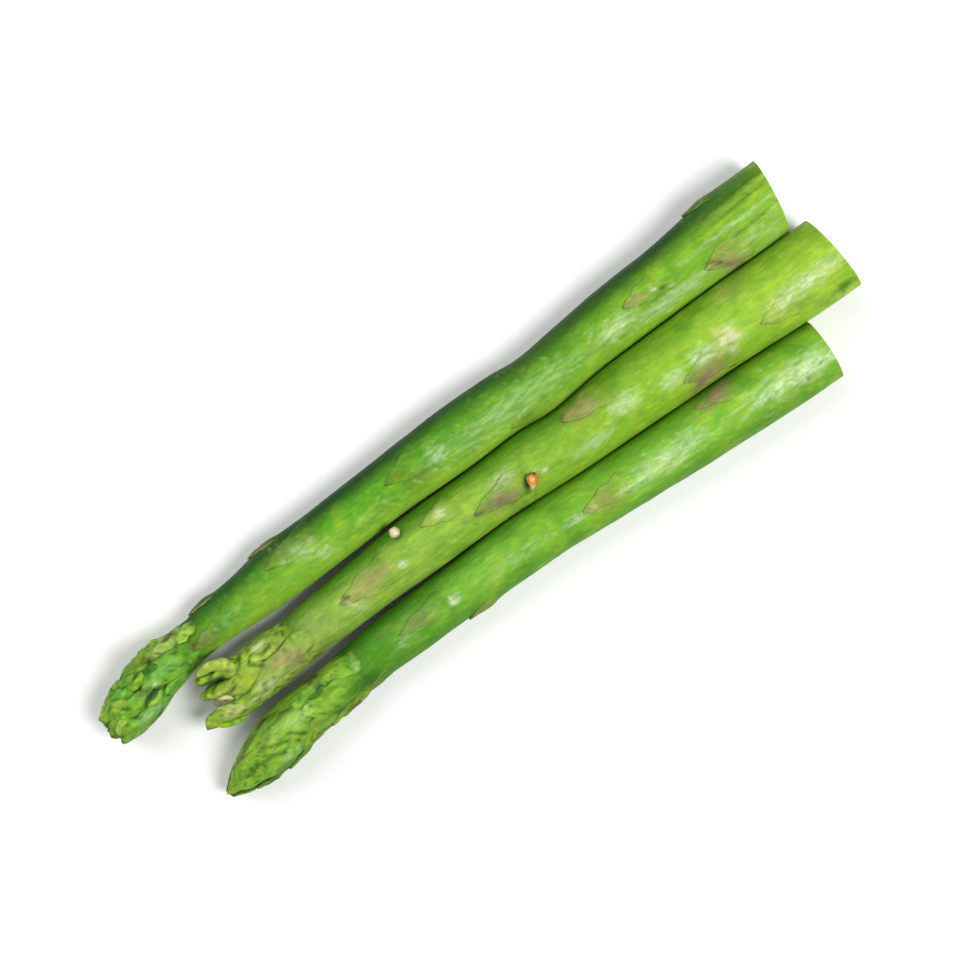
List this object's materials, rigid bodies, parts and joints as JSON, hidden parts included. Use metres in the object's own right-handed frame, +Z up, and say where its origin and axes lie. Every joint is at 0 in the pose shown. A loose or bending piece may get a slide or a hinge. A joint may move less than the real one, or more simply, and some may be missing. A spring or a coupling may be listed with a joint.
{
  "type": "bundle of asparagus",
  "caption": "Bundle of cooked green asparagus spears lying side by side, with scaled tips at one end and cut stems at the other.",
  "frame": {"origin": "centre of the bundle's footprint, on the surface it lies on", "axes": "+X along the spears towards their cut ends, +Y across them towards the longest spear, +Z up"},
  "size_m": [0.1826, 0.0482, 0.0173],
  "materials": {
    "deep_green_skin": "moist, oiled skin",
    "yellow_green_skin": "moist, oiled skin",
    "mid_green_skin": "moist, oiled skin",
    "pepper": "cracked, damp",
    "mustard": "smooth, damp"
  },
  "bodies": {
    "root": {"asparagus_spear_1": "deep_green_skin", "asparagus_spear_2": "yellow_green_skin", "asparagus_spear_3": "mid_green_skin", "pepper_crumb": "pepper", "mustard_seed": "mustard"}
  },
  "joints": []
}
